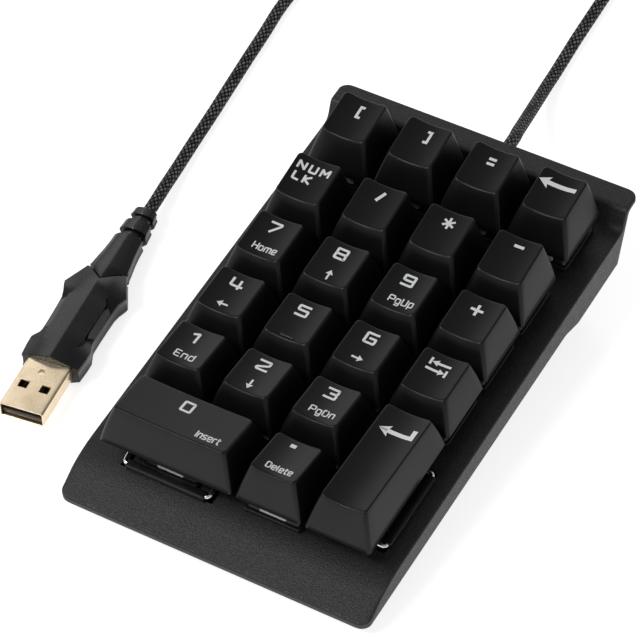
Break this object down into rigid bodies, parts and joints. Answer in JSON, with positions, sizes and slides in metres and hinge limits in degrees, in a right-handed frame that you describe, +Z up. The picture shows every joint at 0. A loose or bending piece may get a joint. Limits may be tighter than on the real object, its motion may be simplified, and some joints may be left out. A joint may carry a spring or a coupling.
{
  "type": "numeric keypad",
  "caption": "Wedge-shaped mechanical numeric keypad with hollow keycaps on switches, a raised back lip, a braided cable and a plug.",
  "frame": {"origin": "centre of the keypad's footprint, on the surface it stands on", "axes": "+X to the user's right, +Y towards the raised back edge and the cable, +Z up"},
  "size_m": [0.1341, 0.2865, 0.0401],
  "materials": {
    "keycaps": "matte black moulded plastic with light printed legends",
    "upper_case": "black moulded plastic with a fine sandblasted grain",
    "lower_case": "black moulded plastic",
    "switch_housings": "milky upper housing on a black lower one",
    "circuit_board": "green solder mask",
    "rubber": "matte black rubber",
    "rubber_black": "soft black moulded strain relief",
    "spring_steel": "bright plated spring wire",
    "braid": "black braided sleeve",
    "plug_grip": "satin black moulded plug",
    "gold_plate": "gold plated sheet metal",
    "insulator": "white moulded plastic"
  },
  "bodies": {
    "case": {"upper_case": "upper_case", "lower_case": "lower_case", "circuit_board": "circuit_board", "front_foot": "rubber", "back_foot": "rubber", "cable_gland": "rubber_black", "switch_0": "switch_housings", "switch_decimal": "switch_housings", "switch_1": "switch_housings", "switch_2": "switch_housings", "switch_3": "switch_housings", "switch_4": "switch_housings", "switch_5": "switch_housings", "switch_6": "switch_housings", "switch_tab": "switch_housings", "switch_7": "switch_housings", "switch_8": "switch_housings", "switch_9": "switch_housings", "switch_plus": "switch_housings", "switch_num_lock": "switch_housings", "switch_divide": "switch_housings", "switch_multiply": "switch_housings", "switch_minus": "switch_housings", "switch_bracket_left": "switch_housings", "switch_bracket_right": "switch_housings", "switch_equals": "switch_housings", "switch_backspace": "switch_housings", "switch_enter": "switch_housings", "cable_from_keypad": "braid", "cable_coil": "braid", "cable_to_plug": "braid", "plug_grip": "plug_grip", "plug_boot": "plug_grip", "usb_shell": "gold_plate", "usb_insulator": "insulator"},
    "key_0": {"keycap_0": "keycaps"},
    "key_decimal": {"keycap_decimal": "keycaps"},
    "key_1": {"keycap_1": "keycaps"},
    "key_2": {"keycap_2": "keycaps"},
    "key_3": {"keycap_3": "keycaps"},
    "key_4": {"keycap_4": "keycaps"},
    "key_5": {"keycap_5": "keycaps"},
    "key_6": {"keycap_6": "keycaps"},
    "key_tab": {"keycap_tab": "keycaps"},
    "key_7": {"keycap_7": "keycaps"},
    "key_8": {"keycap_8": "keycaps"},
    "key_9": {"keycap_9": "keycaps"},
    "key_plus": {"keycap_plus": "keycaps"},
    "key_num_lock": {"keycap_num_lock": "keycaps"},
    "key_divide": {"keycap_divide": "keycaps"},
    "key_multiply": {"keycap_multiply": "keycaps"},
    "key_minus": {"keycap_minus": "keycaps"},
    "key_bracket_left": {"keycap_bracket_left": "keycaps"},
    "key_bracket_right": {"keycap_bracket_right": "keycaps"},
    "key_equals": {"keycap_equals": "keycaps"},
    "key_backspace": {"keycap_backspace": "keycaps"},
    "key_enter": {"keycap_enter": "keycaps"},
    "wire_0": {"stabiliser_wire_0": "spring_steel"},
    "wire_enter": {"stabiliser_wire_enter": "spring_steel"}
  },
  "joints": [
    {"name": "press_0", "type": "slide", "parent": "case", "child": "key_0", "axis": [0, 0.1045, -0.9945], "range_m": [0, 0.004], "stiffness_N_per_m": 100, "springref_m": -0.0045},
    {"name": "press_decimal", "type": "slide", "parent": "case", "child": "key_decimal", "axis": [0, 0.1045, -0.9945], "range_m": [0, 0.004], "stiffness_N_per_m": 100, "springref_m": -0.0045},
    {"name": "press_1", "type": "slide", "parent": "case", "child": "key_1", "axis": [0, 0.1045, -0.9945], "range_m": [0, 0.004], "stiffness_N_per_m": 100, "springref_m": -0.0045},
    {"name": "press_2", "type": "slide", "parent": "case", "child": "key_2", "axis": [0, 0.1045, -0.9945], "range_m": [0, 0.004], "stiffness_N_per_m": 100, "springref_m": -0.0045},
    {"name": "press_3", "type": "slide", "parent": "case", "child": "key_3", "axis": [0, 0.1045, -0.9945], "range_m": [0, 0.004], "stiffness_N_per_m": 100, "springref_m": -0.0045},
    {"name": "press_4", "type": "slide", "parent": "case", "child": "key_4", "axis": [0, 0.1045, -0.9945], "range_m": [0, 0.004], "stiffness_N_per_m": 100, "springref_m": -0.0045},
    {"name": "press_5", "type": "slide", "parent": "case", "child": "key_5", "axis": [0, 0.1045, -0.9945], "range_m": [0, 0.004], "stiffness_N_per_m": 100, "springref_m": -0.0045},
    {"name": "press_6", "type": "slide", "parent": "case", "child": "key_6", "axis": [0, 0.1045, -0.9945], "range_m": [0, 0.004], "stiffness_N_per_m": 100, "springref_m": -0.0045},
    {"name": "press_tab", "type": "slide", "parent": "case", "child": "key_tab", "axis": [0, 0.1045, -0.9945], "range_m": [0, 0.004], "stiffness_N_per_m": 100, "springref_m": -0.0045},
    {"name": "press_7", "type": "slide", "parent": "case", "child": "key_7", "axis": [0, 0.1045, -0.9945], "range_m": [0, 0.004], "stiffness_N_per_m": 100, "springref_m": -0.0045},
    {"name": "press_8", "type": "slide", "parent": "case", "child": "key_8", "axis": [0, 0.1045, -0.9945], "range_m": [0, 0.004], "stiffness_N_per_m": 100, "springref_m": -0.0045},
    {"name": "press_9", "type": "slide", "parent": "case", "child": "key_9", "axis": [0, 0.1045, -0.9945], "range_m": [0, 0.004], "stiffness_N_per_m": 100, "springref_m": -0.0045},
    {"name": "press_plus", "type": "slide", "parent": "case", "child": "key_plus", "axis": [0, 0.1045, -0.9945], "range_m": [0, 0.004], "stiffness_N_per_m": 100, "springref_m": -0.0045},
    {"name": "press_num_lock", "type": "slide", "parent": "case", "child": "key_num_lock", "axis": [0, 0.1045, -0.9945], "range_m": [0, 0.004], "stiffness_N_per_m": 100, "springref_m": -0.0045},
    {"name": "press_divide", "type": "slide", "parent": "case", "child": "key_divide", "axis": [0, 0.1045, -0.9945], "range_m": [0, 0.004], "stiffness_N_per_m": 100, "springref_m": -0.0045},
    {"name": "press_multiply", "type": "slide", "parent": "case", "child": "key_multiply", "axis": [0, 0.1045, -0.9945], "range_m": [0, 0.004], "stiffness_N_per_m": 100, "springref_m": -0.0045},
    {"name": "press_minus", "type": "slide", "parent": "case", "child": "key_minus", "axis": [0, 0.1045, -0.9945], "range_m": [0, 0.004], "stiffness_N_per_m": 100, "springref_m": -0.0045},
    {"name": "press_bracket_left", "type": "slide", "parent": "case", "child": "key_bracket_left", "axis": [0, 0.1045, -0.9945], "range_m": [0, 0.004], "stiffness_N_per_m": 100, "springref_m": -0.0045},
    {"name": "press_bracket_right", "type": "slide", "parent": "case", "child": "key_bracket_right", "axis": [0, 0.1045, -0.9945], "range_m": [0, 0.004], "stiffness_N_per_m": 100, "springref_m": -0.0045},
    {"name": "press_equals", "type": "slide", "parent": "case", "child": "key_equals", "axis": [0, 0.1045, -0.9945], "range_m": [0, 0.004], "stiffness_N_per_m": 100, "springref_m": -0.0045},
    {"name": "press_backspace", "type": "slide", "parent": "case", "child": "key_backspace", "axis": [0, 0.1045, -0.9945], "range_m": [0, 0.004], "stiffness_N_per_m": 100, "springref_m": -0.0045},
    {"name": "press_enter", "type": "slide", "parent": "case", "child": "key_enter", "axis": [0, 0.1045, -0.9945], "range_m": [0, 0.004], "stiffness_N_per_m": 100, "springref_m": -0.0045},
    {"name": "wire_0_tilt", "type": "hinge", "parent": "case", "child": "wire_0", "pos_m": [-0.01905, -0.05774, 0.01161], "axis": [1, 0, 0], "range_deg": [-25.5, 0]},
    {"name": "wire_enter_tilt", "type": "hinge", "parent": "case", "child": "wire_enter", "pos_m": [0.03755, -0.03934, 0.01354], "axis": [0, 0.9945, 0.1045], "range_deg": [-25.5, 0]}
  ],
  "couplings": [
    {"joint": "wire_0_tilt", "follows": "press_0", "rad_per_m": -109.57},
    {"joint": "wire_enter_tilt", "follows": "press_enter", "rad_per_m": -109.57}
  ]
}
